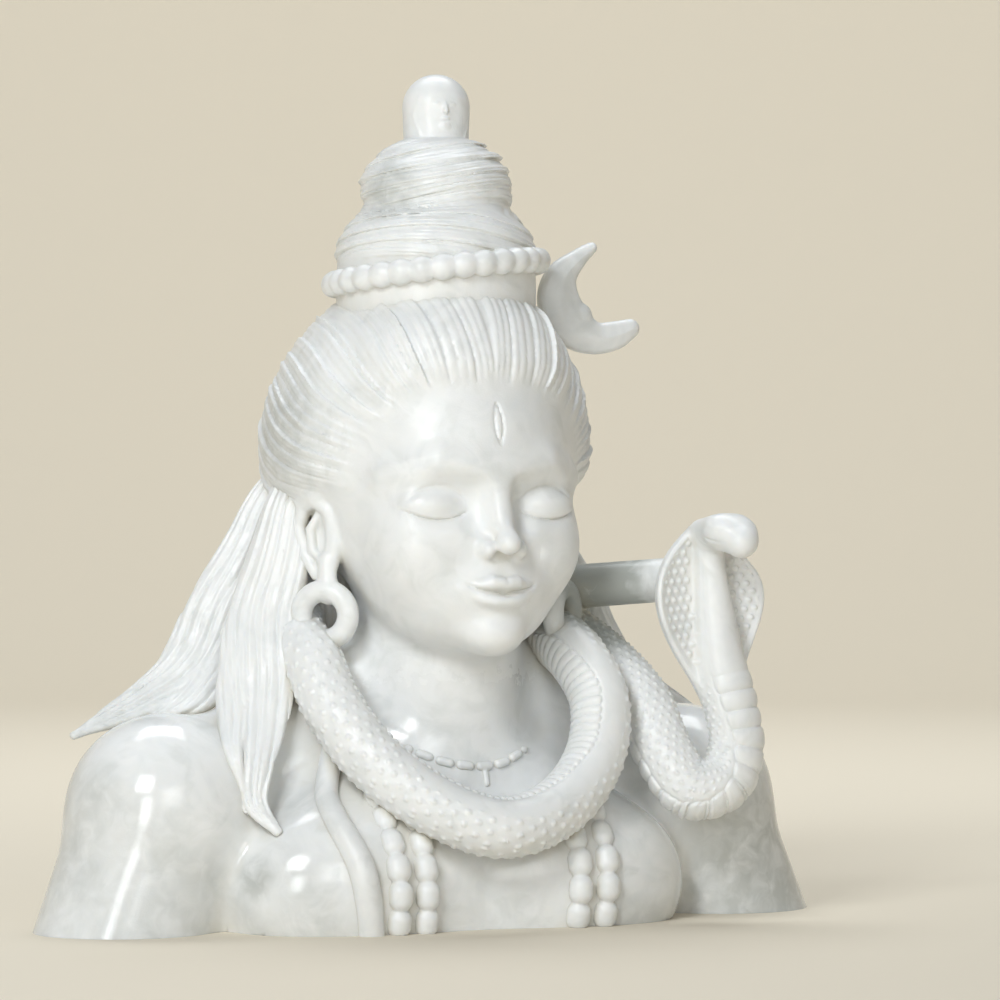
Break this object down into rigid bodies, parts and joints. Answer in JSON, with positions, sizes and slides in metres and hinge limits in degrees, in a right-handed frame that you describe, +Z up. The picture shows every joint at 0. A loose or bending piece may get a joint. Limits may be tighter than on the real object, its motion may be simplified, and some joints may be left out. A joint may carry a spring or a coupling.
{
  "type": "shiva figure",
  "caption": "Marble bust of Shiva with closed eyes, a wound topknot, a crescent, loose hair, bead strings and a hooded cobra round the neck.",
  "frame": {"origin": "middle of the flat cut underside, under the middle of the bust's box", "axes": "+Z up through the topknot, -Y the way the face looks, +X the figure's own left, where the cobra rises"},
  "size_m": [0.5716, 0.269, 0.58],
  "materials": {
    "marble": "polished white marble with faint grey veins"
  },
  "bodies": {
    "root": {"shiva_bust": "marble"}
  },
  "joints": []
}
